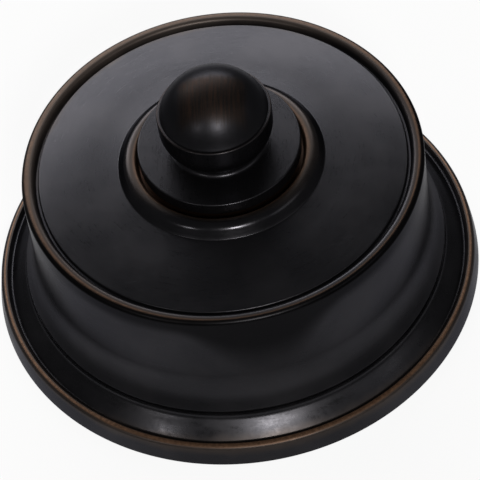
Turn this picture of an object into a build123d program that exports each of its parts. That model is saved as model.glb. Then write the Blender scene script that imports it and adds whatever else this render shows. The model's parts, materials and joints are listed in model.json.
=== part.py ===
from build123d import *
import os
from math import atan2, cos, degrees, radians, sin, sqrt, tan

os.makedirs("parts", exist_ok=True)

# Fits and gaps
running_fit = 0.05          # radial, shaft in bush and rotor
thread_fit = 0.05           # radial, between plain cylinders that stand for a thread
hole_fit = 0.1              # radial, screw in a plain hole
locating_gap = 0.2          # radial, pieces that drop into each other
moving_gap = 0.3            # between pieces that move past each other
seating_gap = 0.05          # between pieces that rest on or grip each other

# Base ring and cover, diameters and heights seen from outside
base_diameter = 84.0
overall_height = 48.9       # wall to the top of the knob
base_edge_height = 4.15     # wall to the top of the bead
base_edge_lean = 0.7        # the side leans in by this much
base_corner = 0.4
bead_width = 1.0
bead_radius = 0.8
bead_groove = 0.75
base_wall = 2.2             # brass over the hollow underside
hollow_rim = 2.6            # width of the outer ring that meets the wall
hollow_fillet = 0.5
slope_foot_fillet = 0.3
seat_step = 0.95            # upright step from the slope to the seat, under the foot of the cover
seat_cove = 1.4
slope_bulge = 0.08          # how far the slope swells over a straight line
slope_bulge_radius = 25.0
cover_seat_height = 7.2     # wall to the seat of the cover
cover_inset = 8.0           # edge of the base to the wall of the cover
cover_wall = 1.3
foot_flare = 2.3
foot_edge = 0.5
seat_margin = 0.1           # seat past the foot of the cover
foot_slope = 57.0           # degrees from flat
foot_round = 0.2
cove_radius = 11.0
spigot_height = 2.5
spigot_wall = 1.5
spigot_lead = 0.4           # rounding that guides the cover on
lip_width = 1.5
lip_thickness = 3.0

# Top of the cover
cover_top_thickness = 1.45
boss_bore_diameter = 28.4
boss_top_width = 1.8
boss_flank = 1.4            # how far the flank of the collar spreads
boss_foot_drop = 0.3        # floor at the collar, under the floor of the recess
boss_rise = 2.0
boss_foot_fillet = 0.3
boss_shoulder = 1.8
boss_bore_round = 0.4
recess_fillet = 0.5
floor_drop = 1.2            # fall of the domed floor from collar to edge
floor_dome = 0.2            # how far it bulges over a straight cone
floor_dome_radius = 90.0
rim_round = 0.9
rim_land = 1.0              # flat of the rim inside its rounding
rim_inner_round = 0.85
rim_rise = 0.65             # crest over the edge of the floor
groove_depth = 0.6
groove_width = 0.45
groove_bank = 0.45
groove_round = 0.15
floor_edge_round = 0.25
cover_inner_fillet = 0.8

# Knob
knob_travel = 1.2
flange_gap = 0.5            # radial, flange in the collar
flange_lift = 0.2           # flange over the collar at rest
flange_thickness = 2.3
flange_round = 0.25
neck_diameter = 15.0
neck_fillet = 0.8
neck_rise = 1.1             # flange to the foot of the barrel
body_diameter = 19.1
barrel_rise = 5.35          # flange to where the side of the barrel stands straight
dome_ledge = 0.5            # flat of the barrel round the foot of the dome
ledge_round = 0.2
dome_height = 6.75
knob_recess_depth = 3.3
knob_recess_gap = 0.8       # radial, round the bush and round its ring nut
nut_recess_depth = 1.4      # keeps a pushed knob off the ring nut
insert_diameter = 9.6
insert_rise = 1.7           # insert past the body, into the dome
insert_cap = 1.0            # left over the end of the shaft

# Insulating base
base_plate_thickness = 3.5
back_relief = 0.3           # keeps the moulding off the wall
back_recess_diameter = 40.0
fixing_edge = 5.4           # centre of a fixing hole to the edge of the moulding
fixing_hole_diameter = 4.5
fixing_head_diameter = 8.0
fixing_head_depth = 1.5
entry_width = 14.0
entry_margin = 4.8          # cable entry to the edge of the moulding
entry_corner = 2.0
moulding_round = 0.6
board_standoff = 2.4
board_foot_diameter = 3.6
board_foot_inset = 3.0

# Circuit board and heat sink
board_thickness = 1.6
board_side = 1.6            # pillar to the side of the board
board_margin = 0.9
board_near_gap = 1.0        # board to the cable entry
board_corner = 2.0
plate_edge = 3.5            # centre of a pillar to the edge of the plate
plate_thickness = 2.0
plate_cover = 0.5           # plate past the can, on the side cut away
plate_chamfer = 0.3
pillar_inset = 8.9          # centre of a fixing hole to the centre of a pillar
pillar_diameter = 4.8
stud_diameter = 3.0
stud_length = 2.8
screw_diameter = 2.9
screw_head_diameter = 5.6
screw_head_height = 2.0
screw_head_round = 0.8
screw_length = 8.0
slot_width = 0.7
slot_depth = 0.8

# Rotary control
switch_height = 6.0
switch_floor = 1.2
switch_wall = 1.9
housing_round = 0.3
can_diameter = 17.0
can_height = 7.0
can_wall = 0.7
can_top = 0.8
can_round = 0.5
stop_depth = 1.05
stop_margin = 1.0           # degrees between lug and stop at either end
bush_diameter = 9.8
bush_top_over_seat = 2.4    # bush end over the floor of the recess
lead_chamfer = 0.4          # ends of bush and shaft
washer_thickness = 0.5
washer_diameter = 15.0
bush_nut_thickness = 2.2
bush_nut_flats = 14.0
nut_clearance = 0.2         # nut under the cover
ring_nut_diameter = 16.0
ring_nut_thickness = 1.5
ring_nut_slot = 2.0
ring_nut_slot_depth = 0.8
shaft_diameter = 6.0
shaft_flat = 2.2            # from the axis to the flat
circlip_thickness = 0.6
circlip_diameter = 9.0
circlip_mouth = 3.0
circlip_groove_diameter = 4.8
wafer_thickness = 1.0
wafer_hole_diameter = 6.8
rotor_diameter = 12.8
rotor_thickness = 1.7
rotor_hub_diameter = 9.2
lug_angle = 30.0
lug_reach = 0.95
lug_root = 1.0
turn_range = 270.0
wiper_inner_diameter = 9.8
wiper_outer_diameter = 12.0
wiper_thickness = 0.4
wiper_angle = 70.0
wiper_dimple = 1.0
wiper_gap = 0.1             # dimple over the track

# Push switch
plunger_thickness = 0.7
plunger_boss_diameter = 5.2
plunger_boss_height = 0.6
plunger_guide_diameter = 3.2
plunger_guide_length = 1.2
plunger_round = 0.2
spring_wire = 0.4
spring_diameter = 4.6
spring_turns = 4
bridge_inner_diameter = 8.4
bridge_outer_diameter = 11.2
bridge_thickness = 0.4
contact_size = 1.6
contact_round = 0.2

# Parts on the board
choke_angle = 130.0         # degrees, round the can
choke_can_gap = 1.9
choke_inner_diameter = 7.2
choke_outer_diameter = 13.2
choke_height = 5.0
choke_wire = 0.7
choke_turns = 18
triac_can_gap = 0.7
triac_width = 10.0
triac_tab_length = 6.5
triac_tab_thickness = 1.3
triac_tab_x = -8.0
triac_tab_hole = 3.6
triac_hole_inset = 3.0
triac_body_length = 9.0
triac_body_thickness = 4.5
triac_leg_pitch = 2.54
triac_leg_reach = 3.5
triac_leg_width = 0.8
triac_leg_thickness = 0.5
triac_leg_root = 1.0        # inside the package
triac_nut_flats = 5.5
triac_nut_thickness = 2.4
film_leg_gap = 2.2          # from the legs of the triac
film_y = 10.5
film_size = (5.6, 13.0, 8.0)
film_round = 0.6
timing_x = 1.5
timing_can_gap = 3.9
timing_size = (7.0, 3.2, 6.5)
resistor_x = 12.5
resistor_y = -8.5
resistor_length = 6.3
resistor_diameter = 2.4
resistor_lead = 0.6
resistor_pitch = 10.0
terminal_pitch = 6.0
terminal_count = 3
terminal_depth = 6.8
terminal_height = 7.5
terminal_can_gap = 0.9
terminal_edge = 0.3         # block to the edge of the board
cage_width = 3.8
cage_height = 4.6
cage_floor = 0.8
wire_hole_diameter = 2.6
terminal_screw_diameter = 2.6
terminal_screw_head = 3.4
terminal_head_height = 1.5
terminal_bite = 0.6         # screw end over the wire hole

# Radii that follow from those
base_r = base_diameter / 2
cover_r = base_r - cover_inset
cover_inner_r = cover_r - cover_wall
foot_r = cover_r + foot_flare
spigot_r = cover_inner_r - locating_gap
ring_bore_r = spigot_r - spigot_wall
lip_bore_r = ring_bore_r - lip_width
moulding_r = ring_bore_r - locating_gap
boss_bore_r = boss_bore_diameter / 2
boss_top_r = boss_bore_r + boss_top_width
boss_foot_r = boss_top_r + boss_flank
rim_inner_r = cover_r - rim_round - rim_land
floor_edge_r = rim_inner_r - groove_bank - groove_width
flange_r = boss_bore_r - flange_gap
bush_r = bush_diameter / 2
shaft_r = shaft_diameter / 2
can_r = can_diameter / 2
can_inner_r = can_r - can_wall
rotor_r = rotor_diameter / 2
switch_bore_r = can_r - switch_wall

# Places on the plan, from the axis outwards
fixing_x = moulding_r - fixing_edge
pillar_x = fixing_x - pillar_inset
plate_r = pillar_x + plate_edge
board_half = pillar_x + pillar_diameter / 2 + board_side
board_far_y = sqrt((ring_bore_r - board_margin) ** 2 - board_half**2)
terminal_far_y = -(can_r + terminal_can_gap)
board_near_y = terminal_far_y - terminal_depth - terminal_edge
entry_near_y = board_near_y - board_near_gap
entry_depth = moulding_r - entry_margin + entry_near_y
choke_r = choke_outer_diameter / 2 + choke_wire
choke_distance = can_r + choke_can_gap + choke_r
choke_x = choke_distance * cos(radians(choke_angle))
choke_y = choke_distance * sin(radians(choke_angle))
triac_y = can_r + triac_can_gap + triac_width / 2
triac_body_x = triac_tab_x + triac_tab_length
triac_body_end = triac_body_x + triac_body_length
leg_x = triac_body_end + triac_leg_reach
film_x = leg_x + film_leg_gap + film_size[0] / 2
timing_y = can_r + timing_can_gap + timing_size[1] / 2

# Heights, built up from the wall
moulding_top = lip_thickness + base_plate_thickness
board_bottom = moulding_top + board_standoff
board_top = board_bottom + board_thickness
switch_top = board_top + switch_height
can_top_z = switch_top + can_height
plate_top = can_top_z + plate_thickness
washer_top = plate_top + washer_thickness
bush_nut_top = washer_top + bush_nut_thickness
cover_underside = bush_nut_top + nut_clearance
recess_floor = cover_underside + cover_top_thickness
ring_nut_top = recess_floor + ring_nut_thickness
bush_top = recess_floor + bush_top_over_seat
boss_foot_z = recess_floor - boss_foot_drop
boss_top_z = boss_foot_z + boss_rise
floor_edge_z = boss_foot_z - floor_drop
rim_z = floor_edge_z + rim_rise
flange_bottom = boss_top_z + flange_lift
flange_top = flange_bottom + flange_thickness
body_top = overall_height - dome_height
insert_bottom = flange_bottom + knob_recess_depth
insert_top = body_top + insert_rise
insert_length = insert_top - insert_bottom
bush_bottom = can_top_z - can_top
circlip_top = bush_bottom - moving_gap
wafer_top = switch_top + wafer_thickness
rotor_bottom = wafer_top + moving_gap
rotor_top = circlip_top - circlip_thickness - knob_travel - moving_gap
switch_floor_z = board_top + switch_floor
plunger_top = switch_top - moving_gap - plunger_boss_height
plunger_bottom = plunger_top - plunger_thickness
shaft_bottom = plunger_top + plunger_boss_height + seating_gap


def section(corners):
    # corners are (radius, height, corner fillet), on the half plane through the axis
    with BuildSketch(Plane.XZ) as outline:
        with BuildLine():
            Polyline(*[(r, z) for r, z, _ in corners], close=True)
        make_face()
        for r, z, corner in corners:
            if corner:
                fillet(outline.vertices().sort_by_distance((r, z, 0))[0], corner)
    return outline.sketch


def tube_section(inner, outer, bottom, top):
    return section([(inner, bottom, 0), (outer, bottom, 0), (outer, top, 0), (inner, top, 0)])


def sector(inner, outer, start, sweep_angle, z):
    # flat ring sector between two angles in degrees, at height z
    def at(r, angle):
        return (r * cos(radians(angle)), r * sin(radians(angle)))

    middle = start + sweep_angle / 2
    end = start + sweep_angle
    with BuildSketch(Plane.XY.offset(z)) as shape:
        with BuildLine():
            ThreePointArc(at(outer, start), at(outer, middle), at(outer, end))
            Line(at(outer, end), at(inner, end))
            ThreePointArc(at(inner, end), at(inner, middle), at(inner, start))
            Line(at(inner, start), at(outer, start))
        make_face()
    return shape.sketch


def save(piece, label):
    piece.part.label = label
    export_step(piece.part, f"parts/{label}.step")


# Base ring: turned, with a beaded edge, a sloped top, a seat and spigot for the cover, and a hollow underside
bead_inner_r = base_r - base_edge_lean - bead_width
slope_foot_r = bead_inner_r - bead_groove
slope_foot_z = base_edge_height - bead_groove
seat_edge_r = foot_r + seat_margin
slope_top_z = cover_seat_height - seat_step
slope_middle_r = (slope_foot_r + seat_edge_r) / 2
slope_middle_z = (slope_foot_z + slope_top_z) / 2 + slope_bulge
slope_rise = (slope_top_z - slope_foot_z) / (slope_foot_r - seat_edge_r)
hollow_outer_r = base_r - hollow_rim
hollow_inner_r = cover_inner_r + base_wall - cover_wall
hollow_outer_z = slope_foot_z + (slope_foot_r - hollow_outer_r) * slope_rise - base_wall
hollow_inner_z = hollow_outer_z + (hollow_outer_r - hollow_inner_r) * slope_rise / 2
with BuildPart() as base_ring:
    revolve(
        section([
            (lip_bore_r, 0, 0),
            (hollow_inner_r, 0, 0),
            (hollow_inner_r, hollow_inner_z, hollow_fillet),
            (hollow_outer_r, hollow_outer_z, hollow_fillet),
            (hollow_outer_r, 0, 0),
            (base_r, 0, base_corner),
            (base_r - base_edge_lean, base_edge_height, bead_radius),
            (bead_inner_r, base_edge_height, 0),
            (slope_foot_r, slope_foot_z, slope_foot_fillet),
            (slope_middle_r, slope_middle_z, slope_bulge_radius),
            (seat_edge_r, slope_top_z, seat_cove),
            (seat_edge_r, cover_seat_height, 0),
            (spigot_r, cover_seat_height, 0),
            (spigot_r, cover_seat_height + spigot_height, spigot_lead),
            (ring_bore_r, cover_seat_height + spigot_height, 0),
            (ring_bore_r, lip_thickness, 0),
            (lip_bore_r, lip_thickness, 0),
        ]),
        axis=Axis.Z,
    )
save(base_ring, "base_ring")

# Cover: drum with flared foot, rolled rim, groove, domed floor and collar, one wall thickness all over
foot_top_z = cover_seat_height + foot_edge
slope_meets_wall = foot_top_z + foot_flare * tan(radians(foot_slope))
groove_z = floor_edge_z - groove_depth
dome_middle_r = (floor_edge_r + boss_foot_r) / 2
dome_middle_z = (floor_edge_z + boss_foot_z) / 2 + floor_dome
with BuildPart() as cover:
    revolve(
        section([
            (cover_inner_r, cover_seat_height, 0),
            (foot_r, cover_seat_height, foot_round),
            (foot_r, foot_top_z, foot_round),
            (cover_r, slope_meets_wall, cove_radius),
            (cover_r, rim_z, rim_round),
            (rim_inner_r, rim_z, rim_inner_round),
            (floor_edge_r + groove_width, groove_z, groove_round),
            (floor_edge_r, groove_z, groove_round),
            (floor_edge_r, floor_edge_z, floor_edge_round),
            (dome_middle_r, dome_middle_z, floor_dome_radius),
            (boss_foot_r, boss_foot_z, boss_foot_fillet),
            (boss_top_r, boss_top_z, boss_shoulder),
            (boss_bore_r, boss_top_z, boss_bore_round),
            (boss_bore_r, recess_floor, recess_fillet),
            (bush_r + hole_fit, recess_floor, 0),
            (bush_r + hole_fit, cover_underside, 0),
            (boss_top_r, cover_underside, 0),
            (cover_inner_r, groove_z - cover_wall, cover_inner_fillet),
        ]),
        axis=Axis.Z,
    )
save(cover, "cover")

# Knob: disc flange, barrel body, dome set in by a ledge, recesses for bush and ring nut, bore for the insert
neck_r = neck_diameter / 2
body_r = body_diameter / 2
dome_r = body_r - dome_ledge
neck_top = flange_top + neck_rise
barrel_top = flange_top + barrel_rise
dome_radius = (dome_r**2 + dome_height**2) / (2 * dome_height)
dome_centre_z = body_top + dome_height - dome_radius
dome_start = degrees(atan2(body_top - dome_centre_z, dome_r))
flange_corners = [
    (flange_r, flange_bottom, flange_round),
    (flange_r, flange_top, flange_round),
    (neck_r, flange_top, neck_fillet),
]
with BuildPart() as knob:
    with BuildSketch(Plane.XZ) as knob_outline:
        with BuildLine():
            Polyline((0, flange_bottom), *[(r, z) for r, z, _ in flange_corners], (neck_r, neck_top))
            TangentArc((body_r, barrel_top), (neck_r, neck_top), tangent=(0, -1))
            Polyline((body_r, barrel_top), (body_r, body_top), (dome_r, body_top))
            CenterArc((0, dome_centre_z), dome_radius, dome_start, 90 - dome_start)
            Line((0, body_top + dome_height), (0, flange_bottom))
        make_face()
        for r, z, corner in [*flange_corners, (body_r, body_top, ledge_round)]:
            fillet(knob_outline.vertices().sort_by_distance((r, z, 0))[0], corner)
    revolve(axis=Axis.Z)
    with BuildSketch(Plane.XY.offset(flange_bottom)):
        Circle(bush_r + knob_recess_gap)
    extrude(amount=knob_recess_depth, mode=Mode.SUBTRACT)
    with BuildSketch(Plane.XY.offset(flange_bottom)):
        Circle(ring_nut_diameter / 2 + knob_recess_gap)
    extrude(amount=nut_recess_depth, mode=Mode.SUBTRACT)
    with BuildSketch(Plane.XY.offset(insert_bottom)):
        Circle(insert_diameter / 2)
    extrude(amount=insert_length, mode=Mode.SUBTRACT)
save(knob, "knob")

# Shaft end, flatted, as a sketch that the shaft, the insert and the rotor share
def flatted(radius, flat, z):
    with BuildSketch(Plane.XY.offset(z)) as shape:
        Circle(radius)
        with Locations((flat + radius, 0)):
            Rectangle(2 * radius, 2 * radius, mode=Mode.SUBTRACT)
    return shape.sketch


# Insert: moulded sleeve pressed into the knob, with the shape of the flatted shaft
shaft_top = insert_top - insert_cap
with BuildPart() as knob_insert:
    with BuildSketch(Plane.XY.offset(insert_bottom)):
        Circle(insert_diameter / 2)
    extrude(amount=insert_length)
    extrude(
        flatted(shaft_r + seating_gap, shaft_flat + seating_gap, insert_bottom),
        amount=shaft_top + seating_gap - insert_bottom,
        mode=Mode.SUBTRACT,
    )
save(knob_insert, "knob_insert")

# Shaft: round in the bush, flatted at both ends, grooved for the circlip
with BuildPart() as shaft:
    with BuildSketch(Plane.XY.offset(shaft_bottom)):
        Circle(shaft_r)
    extrude(amount=shaft_top - shaft_bottom)
    chamfer(shaft.faces().sort_by(Axis.Z)[-1].edges(), lead_chamfer)
    with BuildSketch(Plane.XY.offset(insert_bottom)):
        with Locations((shaft_flat + shaft_r, 0)):
            Rectangle(2 * shaft_r, 2 * shaft_r)
    extrude(amount=shaft_top - insert_bottom, mode=Mode.SUBTRACT)
    with BuildSketch(Plane.XY.offset(shaft_bottom)):
        with Locations((shaft_flat + shaft_r, 0)):
            Rectangle(2 * shaft_r, 2 * shaft_r)
    extrude(amount=circlip_top - circlip_thickness - shaft_bottom, mode=Mode.SUBTRACT)
    with BuildSketch(Plane.XY.offset(circlip_top - circlip_thickness)):
        Circle(shaft_r)
        Circle(circlip_groove_diameter / 2, mode=Mode.SUBTRACT)
    extrude(amount=circlip_thickness, mode=Mode.SUBTRACT)
save(shaft, "shaft")

# Circlip: sprung ring in the groove of the shaft, open on one side
with BuildPart() as shaft_circlip:
    with BuildSketch(Plane.XY.offset(circlip_top - circlip_thickness)):
        Circle(circlip_diameter / 2)
        Circle(circlip_groove_diameter / 2, mode=Mode.SUBTRACT)
        with Locations((0, circlip_diameter / 2)):
            Rectangle(circlip_mouth, circlip_diameter, mode=Mode.SUBTRACT)
    extrude(amount=circlip_thickness)
save(shaft_circlip, "shaft_circlip")

# Threaded bush: bearing for the shaft, fixed in the top of the can
with BuildPart() as threaded_bush:
    revolve(tube_section(shaft_r + running_fit, bush_r, bush_bottom, bush_top), axis=Axis.Z)
    chamfer(threaded_bush.edges().group_by(Axis.Z)[-1].sort_by(SortBy.RADIUS)[-1], lead_chamfer)
save(threaded_bush, "threaded_bush")

# Washer and nut that clamp the heat sink plate to the can
with BuildPart() as bush_washer:
    revolve(tube_section(bush_r + thread_fit, washer_diameter / 2, plate_top, washer_top), axis=Axis.Z)
save(bush_washer, "bush_washer")

with BuildPart() as bush_nut:
    with BuildSketch(Plane.XY.offset(washer_top)):
        RegularPolygon(bush_nut_flats / 2, 6, major_radius=False)
        Circle(bush_r + thread_fit, mode=Mode.SUBTRACT)
    extrude(amount=bush_nut_thickness)
save(bush_nut, "bush_nut")

# Ring nut that holds the cover down, with two slots for a key
with BuildPart() as cover_ring_nut:
    revolve(tube_section(bush_r + thread_fit, ring_nut_diameter / 2, recess_floor, ring_nut_top), axis=Axis.Z)
    with BuildSketch(Plane.XY.offset(ring_nut_top)):
        Rectangle(ring_nut_diameter, ring_nut_slot)
    extrude(amount=-ring_nut_slot_depth, mode=Mode.SUBTRACT)
save(cover_ring_nut, "cover_ring_nut")

# Insulating base: moulding that rests on the lip of the ring, with fixing holes, cable entry and board feet
entry_middle_y = entry_near_y - entry_depth / 2
pillar_points = [(-pillar_x, 0), (pillar_x, 0)]
foot_x = board_half - board_foot_inset
foot_rows = (board_near_y + board_foot_inset, board_far_y - board_foot_inset)
board_feet = [(x, y) for x in (-foot_x, foot_x) for y in foot_rows]
with BuildPart() as insulating_base:
    revolve(
        section([
            (0, lip_thickness, 0),
            (back_recess_diameter / 2, lip_thickness, 0),
            (back_recess_diameter / 2, back_relief, 0),
            (lip_bore_r - locating_gap, back_relief, 0),
            (lip_bore_r - locating_gap, lip_thickness, 0),
            (moulding_r, lip_thickness, 0),
            (moulding_r, moulding_top, moulding_round),
            (0, moulding_top, 0),
        ]),
        axis=Axis.Z,
    )
    with BuildSketch(Plane.XY.offset(moulding_top)):
        with Locations(*board_feet):
            Circle(board_foot_diameter / 2)
    extrude(amount=board_standoff)
    with Locations(Plane.XY.offset(moulding_top)):
        with GridLocations(2 * fixing_x, 0, 2, 1):
            CounterBoreHole(fixing_hole_diameter / 2, fixing_head_diameter / 2, fixing_head_depth)
    with BuildSketch(Plane.XY):
        with Locations((0, entry_middle_y)):
            RectangleRounded(entry_width, entry_depth, entry_corner)
    extrude(amount=moulding_top, mode=Mode.SUBTRACT)
    with BuildSketch(Plane.XY.offset(moulding_top)):
        with Locations(*pillar_points):
            Circle(stud_diameter / 2 + thread_fit)
    extrude(amount=-stud_length, mode=Mode.SUBTRACT)
save(insulating_base, "insulating_base")

# Pillars: turned, with a stud in the moulding and a tapped hole for the frame screws
with BuildPart() as plate_pillars:
    with BuildSketch(Plane.XY.offset(moulding_top)):
        with Locations(*pillar_points):
            Circle(pillar_diameter / 2)
    extrude(amount=can_top_z - moulding_top)
    with BuildSketch(Plane.XY.offset(moulding_top)):
        with Locations(*pillar_points):
            Circle(stud_diameter / 2)
    extrude(amount=-(stud_length - seating_gap))
    with BuildSketch(Plane.XY.offset(can_top_z)):
        with Locations(*pillar_points):
            Circle(screw_diameter / 2 + thread_fit)
    extrude(amount=-(screw_length - plate_thickness + moving_gap), mode=Mode.SUBTRACT)
save(plate_pillars, "plate_pillars")

# Frame screws: pan heads on the plate
with BuildPart() as frame_screws:
    with BuildSketch(Plane.XY.offset(plate_top)):
        with Locations(*pillar_points):
            Circle(screw_head_diameter / 2)
    extrude(amount=screw_head_height)
    fillet(frame_screws.edges().group_by(Axis.Z)[-1], screw_head_round)
    with BuildSketch(Plane.XY.offset(plate_top)):
        with Locations(*pillar_points):
            Circle(screw_diameter / 2)
    extrude(amount=-screw_length)
    with BuildSketch(Plane.XY.offset(plate_top + screw_head_height)):
        with Locations(*pillar_points):
            Rectangle(screw_head_diameter, slot_width)
    extrude(amount=-slot_depth, mode=Mode.SUBTRACT)
save(frame_screws, "frame_screws")

# Heat sink plate: disc with one side cut away over the terminals
triac_hole = (triac_tab_x + triac_hole_inset, triac_y)
with BuildPart() as heat_sink_plate:
    with BuildSketch(Plane.XY.offset(can_top_z)):
        Circle(plate_r)
        with Locations((0, -(can_r + plate_cover + plate_r))):
            Rectangle(2 * plate_r, 2 * plate_r, mode=Mode.SUBTRACT)
        Circle(bush_r + hole_fit, mode=Mode.SUBTRACT)
        with Locations(*pillar_points, triac_hole):
            Circle(screw_diameter / 2 + hole_fit, mode=Mode.SUBTRACT)
    extrude(amount=plate_thickness)
    chamfer(heat_sink_plate.edges().filter_by(GeomType.CIRCLE).sort_by(SortBy.RADIUS)[-2:], plate_chamfer)
save(heat_sink_plate, "heat_sink_plate")

# Circuit board, with clear holes for the pillars
board_length = board_far_y - board_near_y
with BuildPart() as circuit_board:
    with BuildSketch(Plane.XY.offset(board_bottom)):
        with Locations((0, (board_far_y + board_near_y) / 2)):
            RectangleRounded(2 * board_half, board_length, board_corner)
        with Locations(*pillar_points):
            Circle(pillar_diameter / 2 + locating_gap, mode=Mode.SUBTRACT)
    extrude(amount=board_thickness)
save(circuit_board, "circuit_board")

# Switch housing: cup on the board, closed above by the wafer
with BuildPart() as switch_housing:
    revolve(
        section([
            (0, board_top, 0),
            (can_r, board_top, housing_round),
            (can_r, switch_top, 0),
            (switch_bore_r, switch_top, 0),
            (switch_bore_r, switch_floor_z, housing_round),
            (0, switch_floor_z, 0),
        ]),
        axis=Axis.Z,
    )
save(switch_housing, "switch_housing")

# Wafer: carrier of the resistive track, in the mouth of the can
with BuildPart() as track_wafer:
    revolve(
        tube_section(wafer_hole_diameter / 2, can_inner_r - locating_gap, switch_top, wafer_top),
        axis=Axis.Z,
    )
save(track_wafer, "track_wafer")

# Can: pressed cup with a stop for the rotor, staked to the bush
stop_angle = 360 - turn_range - lug_angle - 2 * stop_margin
stop_start = -90 - stop_angle / 2
with BuildPart() as potentiometer_can:
    revolve(
        section([
            (can_inner_r, switch_top, 0),
            (can_r, switch_top, 0),
            (can_r, can_top_z, can_round),
            (bush_r, can_top_z, 0),
            (bush_r, bush_bottom, 0),
            (can_inner_r, bush_bottom, 0),
        ]),
        axis=Axis.Z,
    )
    extrude(
        sector(can_inner_r - stop_depth, can_inner_r + can_wall / 2, stop_start, stop_angle, rotor_bottom),
        amount=rotor_top - rotor_bottom,
    )
save(potentiometer_can, "potentiometer_can")

# Rotor: wiper carrier with a hub on the flatted shaft and a lug that meets the stop at both ends of its turn
lug_start = stop_start - stop_margin - lug_angle
disc_bottom = rotor_top - rotor_thickness
with BuildPart() as rotor:
    with BuildSketch(Plane.XY.offset(disc_bottom)):
        Circle(rotor_r)
    extrude(amount=rotor_thickness)
    extrude(
        sector(rotor_r - lug_root, rotor_r + lug_reach, lug_start, lug_angle, disc_bottom),
        amount=rotor_thickness,
    )
    with BuildSketch(Plane.XY.offset(rotor_bottom)):
        Circle(rotor_hub_diameter / 2)
    extrude(amount=disc_bottom - rotor_bottom)
    extrude(
        flatted(shaft_r + running_fit, shaft_flat + running_fit, rotor_bottom),
        amount=rotor_top - rotor_bottom,
        mode=Mode.SUBTRACT,
    )
save(rotor, "rotor")

# Wiper: bronze strip under the rotor, with a dimple over the track
wiper_bottom = disc_bottom - wiper_thickness
wiper_start = lug_start + lug_angle / 2 - wiper_angle / 2
wiper_r = (wiper_inner_diameter + wiper_outer_diameter) / 4
with BuildPart() as wiper_contact:
    extrude(
        sector(wiper_inner_diameter / 2, wiper_outer_diameter / 2, wiper_start, wiper_angle, wiper_bottom),
        amount=wiper_thickness,
    )
    with BuildSketch(Plane.XY.offset(wiper_bottom)):
        with PolarLocations(wiper_r, 1, start_angle=lug_start + lug_angle / 2):
            Circle(wiper_dimple / 2)
    extrude(amount=-(wiper_bottom - wafer_top - wiper_gap))
save(wiper_contact, "wiper_contact")

# Plunger of the push switch, guided in the housing and held up by the spring
with BuildPart() as switch_plunger:
    revolve(
        section([
            (0, plunger_bottom - plunger_guide_length, 0),
            (plunger_guide_diameter / 2, plunger_bottom - plunger_guide_length, plunger_round),
            (plunger_guide_diameter / 2, plunger_bottom, 0),
            (switch_bore_r - moving_gap, plunger_bottom, 0),
            (switch_bore_r - moving_gap, plunger_top, plunger_round),
            (plunger_boss_diameter / 2, plunger_top, 0),
            (plunger_boss_diameter / 2, plunger_top + plunger_boss_height, plunger_round),
            (0, plunger_top + plunger_boss_height, 0),
        ]),
        axis=Axis.Z,
    )
save(switch_plunger, "switch_plunger")

# Return spring under the plunger
spring_r = (spring_diameter - spring_wire) / 2
spring_bottom = switch_floor_z + spring_wire / 2 + seating_gap
spring_length = plunger_bottom - switch_floor_z - spring_wire - 2 * seating_gap
with BuildPart() as switch_spring:
    with BuildLine() as coil:
        Helix(spring_length / spring_turns, spring_length, spring_r, center=(0, 0, spring_bottom))
    with BuildSketch(Plane(origin=coil.line @ 0, z_dir=coil.line % 0)):
        Circle(spring_wire / 2)
    sweep(path=coil.line)
save(switch_spring, "switch_spring")

# Moving bridge on the plunger and the two fixed contacts under it
with BuildPart() as moving_contact:
    revolve(
        tube_section(
            bridge_inner_diameter / 2,
            bridge_outer_diameter / 2,
            plunger_bottom - bridge_thickness,
            plunger_bottom,
        ),
        axis=Axis.Z,
    )
save(moving_contact, "moving_contact")

contact_spacing = (bridge_inner_diameter + bridge_outer_diameter) / 2
contact_top = plunger_bottom - bridge_thickness - knob_travel - seating_gap
with BuildPart() as fixed_contacts:
    with BuildSketch(Plane.XY.offset(switch_floor_z)):
        with GridLocations(contact_spacing, 0, 2, 1):
            Rectangle(contact_size, contact_size)
    extrude(amount=contact_top - switch_floor_z)
    fillet(fixed_contacts.edges().group_by(Axis.Z)[-1], contact_round)
save(fixed_contacts, "fixed_contacts")

# Triac: flat package under the plate, legs bent down to the board
leg_z = can_top_z - triac_body_thickness / 2
with BuildPart() as triac:
    with BuildSketch(Plane.XY.offset(can_top_z)):
        with Locations((triac_tab_x + (triac_tab_length + triac_body_length) / 2, triac_y)):
            Rectangle(triac_tab_length + triac_body_length, triac_width)
        with Locations(triac_hole):
            Circle(triac_tab_hole / 2, mode=Mode.SUBTRACT)
    extrude(amount=-triac_tab_thickness)
    with BuildSketch(Plane.XY.offset(can_top_z)):
        with Locations((triac_body_x + triac_body_length / 2, triac_y)):
            Rectangle(triac_body_length, triac_width)
    extrude(amount=-triac_body_thickness)
    for step in (-1, 0, 1):
        with BuildSketch(Plane.XZ.offset(-(triac_y + step * triac_leg_pitch))) as leg:
            with BuildLine():
                Polyline(
                    (triac_body_end - triac_leg_root, leg_z),
                    (leg_x, leg_z),
                    (leg_x, board_top),
                    (leg_x - triac_leg_thickness, board_top),
                    (leg_x - triac_leg_thickness, leg_z - triac_leg_thickness),
                    (triac_body_end - triac_leg_root, leg_z - triac_leg_thickness),
                    close=True,
                )
            make_face()
            fillet(leg.vertices().sort_by_distance((leg_x, leg_z, 0))[0], 2 * triac_leg_thickness)
        extrude(amount=triac_leg_width / 2, both=True)
save(triac, "triac")

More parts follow.
